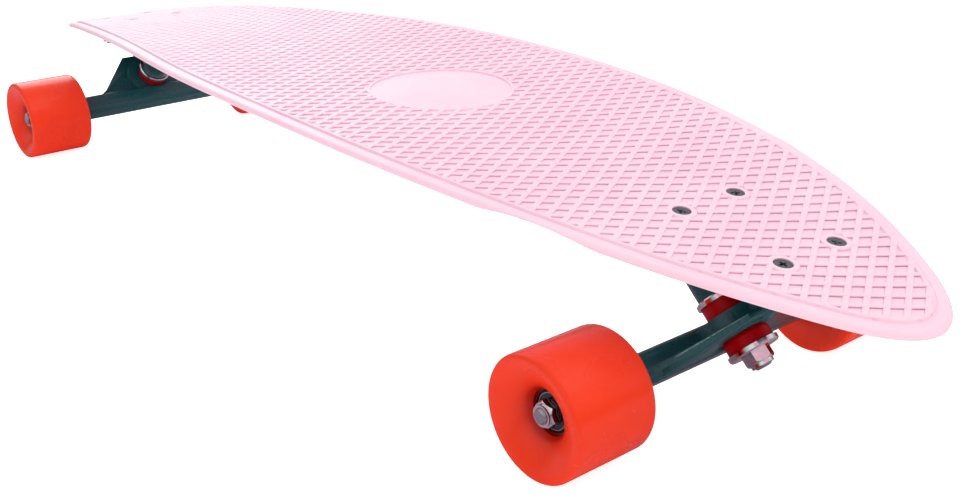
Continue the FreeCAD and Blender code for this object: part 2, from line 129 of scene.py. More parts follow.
class WheelSizes(bpy.types.PropertyGroup):
    """Sizes of a wheel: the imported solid's, but for the dish and the hub that it meets."""

    radius: length("Radius", "Radius of the rolling face", 32.5)
    width: length("Width", "Width of the wheel", 51)
    lip_round: length("Lip round", "Round of the lips", 2.6)
    lip_width: length("Lip width", "Flat lip round the dished face", 5)
    hub_radius: length("Hub radius", "Radius where the dish meets the hub", 12.2)
    hub_half: length("Hub half width", "Half width of the hub", 13.5)
    seat_radius: length("Seat radius", "Radius of the bearing seat", 11.03)
    ridge_radius: length("Ridge radius", "Radius of the ridge between the bearings", 8.8)
    ridge_half: length("Ridge half width", "Half width of that ridge", 5)
    steps: IntProperty(name="Steps", description="Facets round a wheel", default=128, min=32)


class FinishColours(bpy.types.PropertyGroup):
    """Colours of the finishes."""

    deck: colour("Deck", "Moulded deck", "#FBD4E2")
    deck_shade: colour("Deck flow", "Deeper flow marks", "#F9CCDC")
    wheel: colour("Wheel", "Cast urethane", "#F03711")
    wheel_deep: colour("Wheel depth", "Deeper tone in the urethane", "#E9300F")
    # Painted shade: the darker red that occlusion lays into the wheel dish's hollows near the hub.
    wheel_hollow_shade: colour("Wheel hub", "Deep tone in the hollow of the dish", "#9C0008")
    paint: colour("Paint", "Paint of the truck castings", "#12464A")
    paint_light: colour("Paint light", "Lighter grain in the paint", "#1C5256")
    # Painted highlight: a lighter paint on the parting beads stands for the gloss that catches the flanges'
    # edges.
    paint_edge: colour("Paint edge", "Thinner paint on the parting lines", "#7C9C9C")
    bushing: colour("Bushing", "Urethane of the bushings", "#B80009")
    chrome: colour("Chrome", "Plated washers and nuts", "#DFE3E6")
    steel: colour("Steel", "Axles, races and plain nuts", "#B4B6B8")
    shield: colour("Shield", "Bearing shields", "#4A5258")
    race: colour("Race", "Outer bearing races", "#2B2B30")
    bolt: colour("Bolt", "Plated deck bolts", "#6B7378")
    cup: colour("Cup", "Pivot cups", "#1B1B1D")
    floor: colour("Floor", "Floor under the board", "#FFFFFF")
    floor_sheen: colour("Floor sheen", "Floor as the metal mirrors it", "#AFA7B5")


class CameraFit(bpy.types.PropertyGroup):
    """Camera at the photograph's viewing angle."""

    lens: FloatProperty(name="Lens", description="Focal length in mm", default=44.63, unit="CAMERA")
    sensor: FloatProperty(name="Sensor", description="Sensor width in mm", default=36, unit="CAMERA")
    azimuth: rotation("Azimuth", "Turn round the board", 51.01)
    elevation: rotation("Elevation", "Height above the horizon", 22.31)
    roll: rotation("Roll", "Turn about the line of sight", -0.82)
    distance: length("Distance", "Camera from its target", 656.4)
    target: FloatVectorProperty(name="Target", description="Point that the camera looks at",
                                default=(220.54 * MM, -67.06 * MM, 67.08 * MM), unit="LENGTH", precision=5)


# Deck; its half outline runs from nose to tail, in shares of the half length and the half width
OUTLINE_SHARES = (
    (1.0, 0.0), (0.985, 0.165), (0.965, 0.25), (0.92, 0.375), (0.77, 0.66), (0.6, 0.845),
    (0.4, 0.962), (0.15, 1.0), (-0.1, 0.96), (-0.4, 0.786), (-0.65, 0.62), (-0.85, 0.44),
    (-0.95, 0.292), (-0.985, 0.165), (-1.0, 0.0),
)
OUTLINE_STEPS = 480
RUNG_STEPS = 24
ARCH_QUADRATIC_SHARE = 0.82
DISH_TAPER_SHARE = 0.4
RIM_EASE = 0.25 * MM
RIM_OUTER_STEPS = 10
RIM_UNDER_STEPS = 5
GROOVE_DEPTH = 0.25 * MM
GROOVE_WIDTH = 0.3 * MM
RELIEF_X = 297 * MM
RELIEF_LENGTH = 66 * MM
RELIEF_DEPTH = 3.3 * MM
PAD_HALF = (49 * MM, 34 * MM)
PAD_THICKNESS = 10 * MM
PAD_HEIGHT = 7.6 * MM
PAD_EASE = 1.5 * MM
DECK_SHARP = 42

# Tread and deck bolts
RIB_SPACING = 10 * MM
RIB_LIFT = 0.02 * MM
RIB_SHARP = 40
RING_SLOPE = 0.4 * MM
RING_SUNK = 0.1 * MM
RING_DROP = 0.05 * MM
RING_STEPS = 144
RING_SHARP = 50
BOSS_DROP = 0.1 * MM
SINK_DROP = 0.15 * MM
SINK_RADIUS = 4.95 * MM
SINK_DEPTH = 3 * MM
SINK_STEPS = 40
BOLT_SPACING = (63.5 * MM, 41.3 * MM)
BOLT_SUNK = 0.6 * MM
BOLT_TURNS = (23, 31)
BOLT_SHARP = 30

# Trucks
TRUCK_X = 353.4 * MM
RING_CENTRE = (346.575 * MM, 0, 47.114 * MM)
STEER_ANGLE = math.radians(46.945)
CASTING_MERGE = 0.002 * MM
CASTING_FLAT = 0.6
CASTING_EDGE = 38
CASTING_SHARP = 34
HANGER_EASE = 0.9 * MM
BASE_EASE = 0.7 * MM
WEB_PLAN = metres((-20, 51.2), (-11.9, 51.2), (26, 17.4), (26, 3), (16, 3), (16, 15), (-20, 15))
WEB_TOP = 2 * MM
WEB_DEPTHS = (8.4 * MM, 5.2 * MM)
WEB_EASE = 0.7 * MM
BEAD_RADIUS = 0.6 * MM
BEAD_TIP_RADIUS = 0.2 * MM
BEAD_DEPTH = 2.6 * MM
BEAD_STEPS = 10
BEAD_SHARP = 50
AXLE_POINT = 0.3 * MM
THREAD_PITCH = 0.45 * MM
THREAD_FOOT = 0.5 * MM
THREAD_CREST = ((0, 0.1), (0.2 * MM, 0.45), (0.2 * MM, 0.65))
THREAD_STEPS = 48
TRUCK_FINISHES = {
    "bushing_urethane": ("board_bushing", "road_bushing"),
    "chrome_plate": ("board_washer", "road_washer", "kingpin_nut", "axle_nuts"),
    "ground_steel": ("kingpin", "axle", "speed_washers", "deck_nuts"),
    "moulded_nylon": ("pivot_cup",),
}

# Wheels
MOUTH_RADIUS = 11.9 * MM
MOUTH_DEPTH = 2.2 * MM
WHEEL_EASE = 0.6 * MM
LIP_STEPS = 8
DISH_STEPS = 16
DISH_BELL_SHARE = 0.5
SHIELD_RIM = metres((9.15, -0.25), (9.6, -0.25), (9.6, 0.25), (9.15, 0.25))
UV_LENGTH = 100 * MM
LATHE_RING = 0.9 * MM
LATHE_SHARP = 32
WAVE_RATE = 20
# Occlusion range over which the painted shade in the wheel's hollows fades in
HOLLOW_SHADE_RANGE = (0.42, 0.93)
WHEEL_FINISHES = {
    "ground_steel": ("inner_races", "ball_rings", "spacer"),
    "dark_race": ("outer_races",),
    "pressed_shield": ("shields",),
}

# Stage
FLOOR_HALF = 6.0
FLOOR_GLOW = (0.8, 0.3)
SURROUND = 0.55
SHEEN_RANGE = (0.06, 0.9)
SHEEN_HEIGHTS = (0.05, 0.45)
LAMP_TARGET = (0.15, 0, 0.1)
LAMPS = (
    ("key", (0.9, 0.55, 1.7), 1.4, 18.5),
    ("fill", (0.4, -1.4, 0.9), 1.4, 5.0),
    ("rim", (-1.7, 0.5, 1.0), 1.3, 14.0),
)


def settings():
    """The scene's settings, in one place."""
    return bpy.context.scene.longboard


# Deck form

def arch_fall(x):
    """Drop of the deck's middle line below its highest point."""
    deck = settings().deck
    u = 2 * x / deck.arch_span
    return deck.arch_drop * (ARCH_QUADRATIC_SHARE * u ** 2 + (1 - ARCH_QUADRATIC_SHARE) * u ** 4)


def arch_slope(x):
    """Downward slope of the middle line towards the nose."""
    deck = settings().deck
    u = 2 * x / deck.arch_span
    rate = 2 * ARCH_QUADRATIC_SHARE * u + 4 * (1 - ARCH_QUADRATIC_SHARE) * u ** 3
    return deck.arch_drop * rate * 2 / deck.arch_span


def deck_height(x, y):
    """Top of the tread at a place on the deck."""
    deck = settings().deck
    reach = deck.board_width / 2 * (1 - DISH_TAPER_SHARE * (2 * x / deck.board_length) ** 2)
    return deck.top - arch_fall(x) + deck.edge_rise * (y / reach) ** 2


def closed_spline(points, count):
    """Even samples of the smooth closed curve through the points."""
    points = np.array(points)
    total = len(points)
    gaps = np.linalg.norm(np.roll(points, -1, 0) - points, axis=1)
    knots = np.concatenate([[0], np.cumsum(gaps)])
    matrix = np.zeros((total, total))
    right = np.zeros((total, 2))
    for i in range(total):
        after = (i + 1) % total
        matrix[i, i - 1] += gaps[i - 1]
        matrix[i, i] += 2 * (gaps[i - 1] + gaps[i])
        matrix[i, after] += gaps[i]
        right[i] = 6 * ((points[after] - points[i]) / gaps[i] - (points[i] - points[i - 1]) / gaps[i - 1])
    bend = np.linalg.solve(matrix, right)
    places = np.linspace(0, knots[-1], count, endpoint=False)
    i = np.searchsorted(knots, places, side="right") - 1
    j = (i + 1) % total
    h = gaps[i][:, None]
    u = (places - knots[i])[:, None]
    v = h - u
    curved = (bend[i] * v ** 3 + bend[j] * u ** 3) / (6 * h)
    return curved + (points[i] / h - bend[i] * h / 6) * v + (points[j] / h - bend[j] * h / 6) * u


def outline():
    """Outline samples from the nose round by the left side, and their inward directions."""
    deck = settings().deck
    half = np.array((deck.board_length / 2, deck.board_width / 2))
    left = [np.array(share) * half for share in OUTLINE_SHARES]
    right = [point * (1, -1) for point in reversed(left[1:-1])]
    rim = closed_spline(left + right, OUTLINE_STEPS)
    along = np.roll(rim, -1, 0) - np.roll(rim, 1, 0)
    inward = np.stack((-along[:, 1], along[:, 0]), 1)
    return rim, inward / np.linalg.norm(inward, axis=1)[:, None]


def truck_frame(side):
    """Frame on a truck's pad: its X outboard along the pad, its Z square to it."""
    lean = math.atan(arch_slope(TRUCK_X))
    pad_z = settings().deck.top - arch_fall(TRUCK_X) - PAD_THICKNESS / math.cos(lean)
    front = Matrix.Translation((TRUCK_X, 0, pad_z)) @ Matrix.Rotation(lean, 4, "Y")
    return front if side > 0 else Matrix.Rotation(math.pi, 4, "Z") @ front


def ring_frame(side):
    """Frame on a hanger's ring: its X up along the steering axis, its Z along the kingpin."""
    front = Matrix.Translation(RING_CENTRE) @ Matrix.Rotation(-STEER_ANGLE, 4, "Y")
    return front if side > 0 else Matrix.Rotation(math.pi, 4, "Z") @ front


def bolt_spots():
    """Places of the eight bolts on the deck's top, with their frames."""
    spots = []
    for _, side in ENDS:
        base = truck_frame(side)
        for sx, sy in ((-1, -1), (-1, 1), (1, -1), (1, 1)):
            foot = base @ Vector((sx * BOLT_SPACING[0] / 2, sy * BOLT_SPACING[1] / 2, 0))
            rise = (deck_height(abs(foot.x), foot.y) - foot.z) * base.col[2].z
            place = base.copy()
            place.translation = foot + base.col[2].to_3d() * rise
            spots.append(place)
    return spots


def rim_profile():
    """Insets and depths from the floor of the field over the border and rim to the underside."""
    deck = settings().deck
    tread = settings().tread
    edge = deck.rim_width
    inner = edge + tread.border
    ease = RIM_EASE
    groove = deck.rim_step + GROOVE_DEPTH
    rows = [
        (inner + 2 * ease, tread.height), (inner, ease), (inner - ease, 0), (edge + ease, 0), (edge, ease),
        (edge - ease, deck.rim_step), (edge - 2 * ease, groove), (edge - 2 * ease - GROOVE_WIDTH, groove),
        (edge - 3 * ease - GROOVE_WIDTH, deck.rim_step),
    ]
    outer = deck.rim_round
    rows += round_corner((outer, deck.rim_step + outer), outer, -90, -180, RIM_OUTER_STEPS)
    under = deck.rim_depth - deck.rim_step - outer
    rows += round_corner((under, deck.rim_depth - under), under, 180, 90, RIM_UNDER_STEPS)[1:]
    wall = edge + deck.wall
    return rows + [
        (wall - 2 * ease, deck.rim_depth), (wall, deck.rim_depth - 2 * ease),
        (wall, deck.skin + 2 * ease), (wall + 2 * ease, deck.skin),
    ]


def relief(x):
    """Depth of the scoop above the front wheels at a place along the rim."""
    radius = (RELIEF_LENGTH ** 2 / 4 + RELIEF_DEPTH ** 2) / (2 * RELIEF_DEPTH)
    return max(0.0, RELIEF_DEPTH - (x - RELIEF_X) ** 2 / (2 * radius))


def ladder(verts, faces, ring, depth, up):
    """Fills a ring with rungs from its left side to its right side."""
    rows = []
    half = OUTLINE_STEPS // 2
    for i in range(1, half):
        left, right = ring[i], ring[OUTLINE_STEPS - i]
        row = [left]
        for k in range(1, RUNG_STEPS):
            share = k / RUNG_STEPS
            x, y = (verts[left][n] * (1 - share) + verts[right][n] * share for n in (0, 1))
            row.append(len(verts))
            verts.append((x, y, deck_height(x, y) - depth))
        rows.append(row + [right])
    made = bands(rows, False)
    made += [(ring[0], rows[0][k], rows[0][k + 1]) for k in range(RUNG_STEPS)]
    made += [(rows[-1][k], ring[half], rows[-1][k + 1]) for k in range(RUNG_STEPS)]
    faces += made if up else [face[::-1] for face in made]


def deck_mesh():
    """Moulded deck as one closed skin, with its truck pads."""
    deck = settings().deck
    rim, inward = outline()
    verts = []
    rings = []
    profile = rim_profile()
    for inset, depth in profile:
        ring = []
        for point, way in zip(rim, inward):
            x, y = point + way * inset
            low = min(depth, deck.rim_depth - relief(x)) if inset < deck.rim_width + deck.wall else depth
            ring.append(len(verts))
            verts.append((x, y, deck_height(x, y) - low))
        rings.append(ring)
    faces = bands(rings, True)
    ladder(verts, faces, rings[0], profile[0][1], True)
    ladder(verts, faces, rings[-1], profile[-1][1], False)
    mesh = plain_mesh("deck_skin", verts, faces=faces)
    shape = bmesh.new()
    shape.from_mesh(mesh)
    for _, side in ENDS:
        box = bmesh.ops.create_cube(shape, size=1)["verts"]
        size = Matrix.Diagonal((2 * PAD_HALF[0], 2 * PAD_HALF[1], PAD_HEIGHT, 1))
        place = truck_frame(side) @ Matrix.Translation((0, 0, PAD_HEIGHT / 2)) @ size
        bmesh.ops.transform(shape, matrix=place, verts=box)
        edges = list({edge for vert in box for edge in vert.link_edges})
        bmesh.ops.bevel(shape, geom=edges, offset=PAD_EASE, segments=3, affect="EDGES", profile=0.5)
    shape.to_mesh(mesh)
    shape.free()
    return mesh


def bored(mesh):
    """The deck's skin with the sinks of its eight bolts cut out."""
    shape = bmesh.new()
    for place in bolt_spots():
        bmesh.ops.create_cone(shape, cap_ends=True, segments=SINK_STEPS, radius1=SINK_RADIUS,
                              radius2=SINK_RADIUS, depth=2 * SINK_DEPTH, matrix=place)
    bmesh.ops.recalc_face_normals(shape, faces=shape.faces)
    return combined(mesh, mesh_of(shape, "bolt_sinks"), "DIFFERENCE")


# Shared makers

def placed(name, data):
    """New object in the scene."""
    obj = bpy.data.objects.new(name, data)
    bpy.context.scene.collection.objects.link(obj)
    return obj


def baked(obj):
    """Plain mesh of an object with its modifiers, which then leaves the scene."""
    mesh = bpy.data.meshes.new_from_object(obj.evaluated_get(bpy.context.evaluated_depsgraph_get()))
    bpy.data.objects.remove(obj)
    return mesh


def combined(mesh, tool_mesh, operation):
    """Result of one Boolean between two meshes."""
    tool = placed("tool", tool_mesh)
    body = placed("body", mesh)
    cut = body.modifiers.new("Boolean", "BOOLEAN")
    cut.operation = operation
    cut.solver = "EXACT"
    cut.use_self = True
    cut.object = tool
    result = baked(body)
    bpy.data.objects.remove(tool)
    return result


def plain_mesh(name, verts, edges=(), faces=()):
    """New mesh from its points, edges and faces."""
    mesh = bpy.data.meshes.new(name)
    mesh.from_pydata(verts, edges, faces)
    return mesh


def mesh_of(shape, name):
    """Mesh of a finished shape, which is then freed."""
    mesh = bpy.data.meshes.new(name)
    shape.to_mesh(mesh)
    shape.free()
    return mesh


def smooth(mesh, degrees):
    """Gives a mesh smooth shading that keeps edges sharper than an angle."""
    mesh.shade_smooth()
    mesh.set_sharp_from_angle(angle=math.radians(degrees))
    return mesh


def coat(mesh, finish):
    """Gives a mesh its one finish."""
    mesh.materials.clear()
    mesh.materials.append(finish_named(finish))


def dress(group, finishes):
    """Gives a group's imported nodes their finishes."""
    for finish, names in finishes.items():
        for name in names:
            coat(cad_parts[group + "_" + name].data, finish)


def piece(name, mesh, body, slot, finish, *stands_for):
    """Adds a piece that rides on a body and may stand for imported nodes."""
    obj = placed(name, mesh)
    if finish is not None:
        coat(mesh, finish)
    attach(obj, body)
    if stands_for:
        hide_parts(*stands_for)


def bands(rows, closed):
    """Quads between each row of points and the next, round closed rows or along open ones."""
    faces = []
    for first, second in zip(rows, rows[1:]):
        for k in range(len(first) if closed else len(first) - 1):
            j = (k + 1) % len(first)
            faces.append((first[k], second[k], second[j], first[j]))
    return faces


def circle(steps):
    """Directions of even steps round a circle."""
    return round_corner((0, 0), 1, 0, 360, steps)[:-1]


def round_corner(centre, radius, start, end, steps):
    """Points of an arc, its angles in degrees from the first axis."""
    angles = [math.radians(start + (end - start) * k / steps) for k in range(steps + 1)]
    return [(centre[0] + radius * math.cos(a), centre[1] + radius * math.sin(a)) for a in angles]


def lathe(name, profile, steps, place):
    """Closed profile of (radius, along) points turned about the Y axis, then moved to its place."""
    verts = []
    rings = []
    for c, s in circle(steps):
        rings.append(range(len(verts), len(verts) + len(profile)))
        verts += [(radius * c, along, radius * s) for radius, along in profile]
    mesh = plain_mesh(name, verts, faces=bands(rings + rings[:1], True))
    lengths = [0.0]
    for (r1, h1), (r2, h2) in zip(profile, profile[1:] + profile[:1]):
        lengths.append(lengths[-1] + math.hypot(r2 - r1, h2 - h1))
    layer = mesh.uv_layers.new(name="turned")
    for face in mesh.polygons:
        k, i = divmod(face.index, len(profile))
        ends = ((k, i), (k + 1, i), (k + 1, i + 1), (k, i + 1))
        for loop, (turn, row) in zip(face.loop_indices, ends):
            layer.data[loop].uv = (turn / steps, lengths[row] / UV_LENGTH)
    shape = bmesh.new()
    shape.from_mesh(mesh)
    bmesh.ops.transform(shape, matrix=place, verts=shape.verts)
    bmesh.ops.recalc_face_normals(shape, faces=shape.faces)
    shape.to_mesh(mesh)
    shape.free()
    return smooth(mesh, LATHE_SHARP)


# Truck forms

def softened(node, width):
    """Copy of a packed casting with its sharp edges rounded over, as a casting's are."""
    shape = bmesh.new()
    shape.from_mesh(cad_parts[node].data)
    bmesh.ops.remove_doubles(shape, verts=shape.verts, dist=CASTING_MERGE)
    bmesh.ops.dissolve_limit(shape, angle_limit=math.radians(CASTING_FLAT), verts=shape.verts,
                             edges=shape.edges)
    holder = placed(node + "_soft", mesh_of(shape, node + "_soft"))
    bevel = holder.modifiers.new("Edges", "BEVEL")
    bevel.width = width
    bevel.segments = 2
    bevel.limit_method = "ANGLE"
    bevel.angle_limit = math.radians(CASTING_EDGE)
    bevel.use_clamp_overlap = True
    return smooth(baked(holder), CASTING_SHARP)


def hanger_webs(side):
    """Webs that slope from the foot of a hanger's beam to the tips of its flanges."""
    back, tip = WEB_PLAN[0][0], WEB_PLAN[2][0]
    deep, shallow = WEB_DEPTHS
    slope = (deep - shallow) / (tip - back)
    shape = bmesh.new()
    for hand in (-1, 1):
        upper = [shape.verts.new((u, hand * v, -WEB_TOP)) for u, v in WEB_PLAN]
        lower = [shape.verts.new((u, hand * v, (u - back) * slope - deep)) for u, v in WEB_PLAN]
        for corners in (upper, lower[::-1], *bands([upper, lower], True)):
            shape.faces.new(corners)
    bmesh.ops.recalc_face_normals(shape, faces=shape.faces)
    bmesh.ops.bevel(shape, geom=shape.edges[:], offset=WEB_EASE, segments=2, affect="EDGES", profile=0.5)
    bmesh.ops.transform(shape, matrix=ring_frame(side), verts=shape.verts)
    return mesh_of(shape, "hanger_webs")


def parting_beads(side):
    """Thin beads that the mould's parting line leaves along the flanges."""
    shape = bmesh.new()
    for hand in (-1, 1):
        first, last = [Vector((u, hand * v, -BEAD_DEPTH)) for u, v in WEB_PLAN[1:3]]
        along = last - first
        turn = along.to_track_quat("Z", "Y").to_matrix().to_4x4()
        bmesh.ops.create_cone(shape, cap_ends=True, segments=BEAD_STEPS, radius1=BEAD_RADIUS,
                              radius2=BEAD_TIP_RADIUS, depth=along.length,
                              matrix=Matrix.Translation((first + last) / 2) @ turn)
    bmesh.ops.transform(shape, matrix=ring_frame(side), verts=shape.verts)
    return smooth(mesh_of(shape, "parting_beads"), BEAD_SHARP)


def thread(name, radius, low, high, place):
    """Thread crests round the end of a pin, between two places along it."""
    crests = max(1, int((high - low) / THREAD_PITCH))
    pitch = (high - low) / crests
    profile = [(radius - THREAD_FOOT, low)]
    for k in range(crests):
        profile += [(radius + rise, low + (k + share) * pitch) for rise, share in THREAD_CREST]
    profile += [(radius, high), (radius - THREAD_FOOT, high)]
    return lathe(name, profile, THREAD_STEPS, place)


# Geometry Nodes

def set_inputs(tree, node, inputs):
    """Gives a node's inputs their values and links."""
    for key, value in inputs.items():
        if isinstance(value, bpy.types.NodeSocket):
            tree.links.new(value, node.inputs[key])
        else:
            node.inputs[key].default_value = value


def add_node(tree, kind, inputs=None, **props):
    """Adds a node with its settings, its values and its links."""
    node = tree.nodes.new(kind)
    for name, value in props.items():
        setattr(node, name, value)
    set_inputs(tree, node, inputs or {})
    return node


def new_tree(name, inputs):
    """Geometry tree with a geometry input and output and its named inputs."""
    tree = bpy.data.node_groups.new(name, "GeometryNodeTree")
    tree.interface.new_socket("Geometry", in_out="INPUT", socket_type="NodeSocketGeometry")
    for label, kind in inputs:
        tree.interface.new_socket(label, in_out="INPUT", socket_type=kind)
    tree.interface.new_socket("Geometry", in_out="OUTPUT", socket_type="NodeSocketGeometry")
    return tree, tree.nodes.new("NodeGroupInput")


def finish_tree(tree, geometry, material):
    """Ends a tree in plain geometry with its material."""
    real = add_node(tree, "GeometryNodeRealizeInstances", {"Geometry": geometry})
    painted = add_node(tree, "GeometryNodeSetMaterial", {"Geometry": real.outputs[0], "Material": material})
    add_node(tree, "NodeGroupOutput", {"Geometry": painted.outputs[0]})


def run_tree(tree, mesh, values):
    """Plain mesh that a tree makes from a mesh, with its inputs set by their identifiers."""
    holder = placed(tree.name, mesh)
    modifier = holder.modifiers.new(tree.name, "NODES")
    modifier.node_group = tree
    for item in tree.interface.items_tree:
        if item.in_out == "INPUT" and item.name in values:
            modifier[item.identifier] = values[item.name]
    mesh = baked(holder)
    if not mesh.polygons:
        raise RuntimeError(tree.name + " made no faces")
    return mesh


def rib_tree():
    """Tree that lays a low rib with sloping sides along each line of a mesh."""
    sizes = [(label, "NodeSocketFloat") for label in ("Top width", "Base width", "Height", "Round")]
    tree, group = new_tree("Tread ribs", sizes + [("Finish", "NodeSocketMaterial")])
    lines = add_node(tree, "GeometryNodeMeshToCurve", {"Mesh": group.outputs["Geometry"]})
    level = add_node(tree, "GeometryNodeSetCurveNormal", {"Curve": lines.outputs[0]}, mode="Z_UP")
    # The section hangs upside down on its line, so its bottom is the rib's top
    section = add_node(tree, "GeometryNodeCurvePrimitiveQuadrilateral", {
        "Height": group.outputs["Height"], "Offset": 0.0,
        "Bottom Width": group.outputs["Top width"], "Top Width": group.outputs["Base width"],
    }, mode="TRAPEZOID")
    soft = add_node(tree, "GeometryNodeFilletCurve", {
        "Curve": section.outputs[0], "Radius": group.outputs["Round"], "Limit Radius": True, "Count": 2,
    }, mode="POLY")
    ribs = add_node(tree, "GeometryNodeCurveToMesh", {
        "Curve": level.outputs[0], "Profile Curve": soft.outputs[0], "Fill Caps": True,
    })
    finish_tree(tree, ribs.outputs[0], group.outputs["Finish"])
    return tree


def instance_tree(name):
    """Tree that stands a prototype on every point, turned by the point's own attribute."""
    tree, group = new_tree(name, [("Prototype", "NodeSocketObject"), ("Finish", "NodeSocketMaterial")])
    model = add_node(tree, "GeometryNodeObjectInfo", {"Object": group.outputs["Prototype"]})
    turn = add_node(tree, "GeometryNodeInputNamedAttribute", {"Name": "turn"}, data_type="FLOAT_VECTOR")
    stood = add_node(tree, "GeometryNodeInstanceOnPoints", {
        "Points": group.outputs["Geometry"],
        "Instance": model.outputs["Geometry"],
        "Rotation": turn.outputs["Attribute"],
    })
    finish_tree(tree, stood.outputs[0], group.outputs["Finish"])
    return tree


# Tread and bolts

def circle_span(start, way, centre, radius):
    """Stretch of a line that lies inside a circle, or its far end if it misses."""
    to = start - centre
    b = float(to @ way)
    c = float(to @ to) - radius ** 2
    if b * b <= c:
        return math.inf, math.inf
    root = math.sqrt(b * b - c)
    return -b - root, -b + root


def without(spans, hole):
    """Stretches that are left when a hole is taken out."""
    left = []
    for low, high in spans:
        parts = ((low, min(high, hole[0])), (max(low, hole[1]), high))
        left += [part for part in parts if part[1] > part[0]]
    return left


def tread_spans(start, way, edge, circles):
    """Stretches of a line inside the field's edge and outside the bare circles."""
    across = np.array((-way[1], way[0]))
    side = (edge - start) @ across
    after = np.roll(side, -1)
    hit = np.nonzero(side * after < 0)[0]
    share = side[hit] / (side[hit] - after[hit])
    points = edge[hit] + (np.roll(edge, -1, 0)[hit] - edge[hit]) * share[:, None]
    cuts = sorted((points - start) @ way)
    spans = list(zip(cuts[::2], cuts[1::2]))
    for centre, radius in circles:
        spans = without(spans, circle_span(start, way, centre, radius))
    return spans


def tread_lines():
    """Lines of both rib families on the deck, clipped to the field."""
    deck = settings().deck
    tread = settings().tread
    rim, inward = outline()
    edge = rim + inward * (deck.rim_width + tread.border / 2)
    circles = [(np.array((tread.field_x, 0)), tread.field_radius + tread.ring_width / 2)]
    circles += [(np.array(spot.translation.xy), tread.boss_radius) for spot in bolt_spots()]
    verts = []
    edges = []
    count = int(deck.board_length / 2 / tread.pitch_x + deck.board_width / 2 / tread.pitch_y) + 1
    for hand in (-1, 1):
        way = np.array((tread.pitch_x, hand * tread.pitch_y))
        way = way / np.linalg.norm(way)
        for k in range(-count, count + 1):
            start = np.array(((k + tread.shift) * tread.pitch_x, 0.0))
            for low, high in tread_spans(start, way, edge, circles):
                if high - low < tread.rib_base:
                    continue
                steps = max(1, math.ceil((high - low) / RIB_SPACING))
                for i in range(steps + 1):
                    x, y = start + way * (low + (high - low) * i / steps)
                    if i:
                        edges.append((len(verts) - 1, len(verts)))
                    verts.append((x, y, deck_height(x, y) - tread.height / 2 - (1 + hand) / 2 * RIB_LIFT))
    return plain_mesh("tread_lines", verts, edges)


def raised_ring(verts, faces, radii, steps, lift):
    """Low ring on the deck: foot, top and foot again, from inside to outside."""
    rings = []
    for radius, depth in radii:
        rings.append(range(len(verts), len(verts) + steps))
        verts += [lift(radius * c, radius * s, depth) for c, s in circle(steps)]
    faces += bands(rings, True)


def rings_mesh():
    """Ring round the bare field and the flat bosses round the bolts."""
    tread = settings().tread
    verts = []
    faces = []
    slope = RING_SLOPE
    sunk = tread.height + RING_SUNK

    def on_deck(x, y, depth):
        return (x + tread.field_x, y, deck_height(x + tread.field_x, y) - depth)

    inner = tread.field_radius - tread.ring_width / 2
    outer = tread.field_radius + tread.ring_width / 2
    radii = [(inner - slope, sunk), (inner, RING_DROP), (inner + slope / 2, 0), (outer - slope / 2, 0),
             (outer, RING_DROP), (outer + slope, sunk)]
    raised_ring(verts, faces, radii, RING_STEPS, on_deck)
    hole = SINK_RADIUS
    for place in bolt_spots():
        def on_bolt(x, y, depth, place=place):
            return tuple(place @ Vector((x, y, -depth)))
        top = tread.boss_radius
        radii = [(hole, 2 * sunk), (hole, SINK_DROP), (hole + slope / 2, 0), (top - slope / 2, 0),
                 (top, BOSS_DROP), (top + slope, sunk)]
        raised_ring(verts, faces, radii, SINK_STEPS, on_bolt)
    return smooth(plain_mesh("tread_rings", verts, faces=faces), RING_SHARP)


def bolt_mesh():
    """Countersunk bolt with a cross recess, its top on z = 0."""
    head = 4.6 * MM
    shank = 2.4 * MM
    cone = 2.9 * MM
    end = 22.4 * MM
    arm = 2.5 * MM
    half = 0.75 * MM
    recess = 1.5 * MM
    taper = 0.6
    shape = bmesh.new()
    steps = 32
    rings = []
    sides = ((head - 0.35 * MM, 0), (head, -0.2 * MM), (head, -0.4 * MM), (shank, -cone), (shank, -end))
    for radius, z in sides:
        rings.append([shape.verts.new((radius * c, radius * s, z)) for c, s in circle(steps)])
    shape.faces.new(rings[-1][::-1])
    quarter = [(arm, half), (half, half), (half, arm)]
    corners = []
    for _ in range(4):
        corners += quarter
        quarter = [(-y, x) for x, y in quarter]
    top = [shape.verts.new((x, y, 0)) for x, y in corners]
    low = [shape.verts.new((x * taper, y * taper, -recess)) for x, y in corners]
    for band in bands(rings, True) + bands([top, low], True):
        shape.faces.new(band)
    shape.faces.new(low)
    edges = []
    for ring in (top, rings[0]):
        edges += [shape.edges.get((ring[k - 1], ring[k])) for k in range(len(ring))]
    bmesh.ops.triangle_fill(shape, edges=edges, use_beauty=True, use_dissolve=False)
    bmesh.ops.recalc_face_normals(shape, faces=shape.faces)
    return smooth(mesh_of(shape, "deck_bolt"), BOLT_SHARP)


# Finishes

def new_material(name):
    """Empty material with its shader, its tree and its object coordinates."""
    material = bpy.data.materials.new(name)
    material.use_nodes = True
    tree = material.node_tree
    shader = next(node for node in tree.nodes if node.type == "BSDF_PRINCIPLED")
    place = add_node(tree, "ShaderNodeTexCoord").outputs["Object"]
    return material, tree, shader, place


def noise(tree, place, grain, detail, rough=0.5):
    """Noise whose grains are about one size across."""
    return add_node(tree, "ShaderNodeTexNoise", {
        "Vector": place, "Scale": 1 / grain, "Detail": detail, "Roughness": rough,
    }).outputs[0]


def blend_colours(tree, factor, first, second):
    """Colour between two tones, each a colour or a node's result."""
    pair = [tone if isinstance(tone, bpy.types.NodeSocket) else (*tone, 1) for tone in (first, second)]
    inputs = {0: factor, 6: pair[0], 7: pair[1]}
    return add_node(tree, "ShaderNodeMix", inputs, data_type="RGBA").outputs[2]


def spread(tree, value, low, high, start=0.3, end=0.7):
    """Value carried from one range, by default its middle, to another."""
    return add_node(tree, "ShaderNodeMapRange", {
        "Value": value, "From Min": start, "From Max": end, "To Min": low, "To Max": high,
    }).outputs[0]


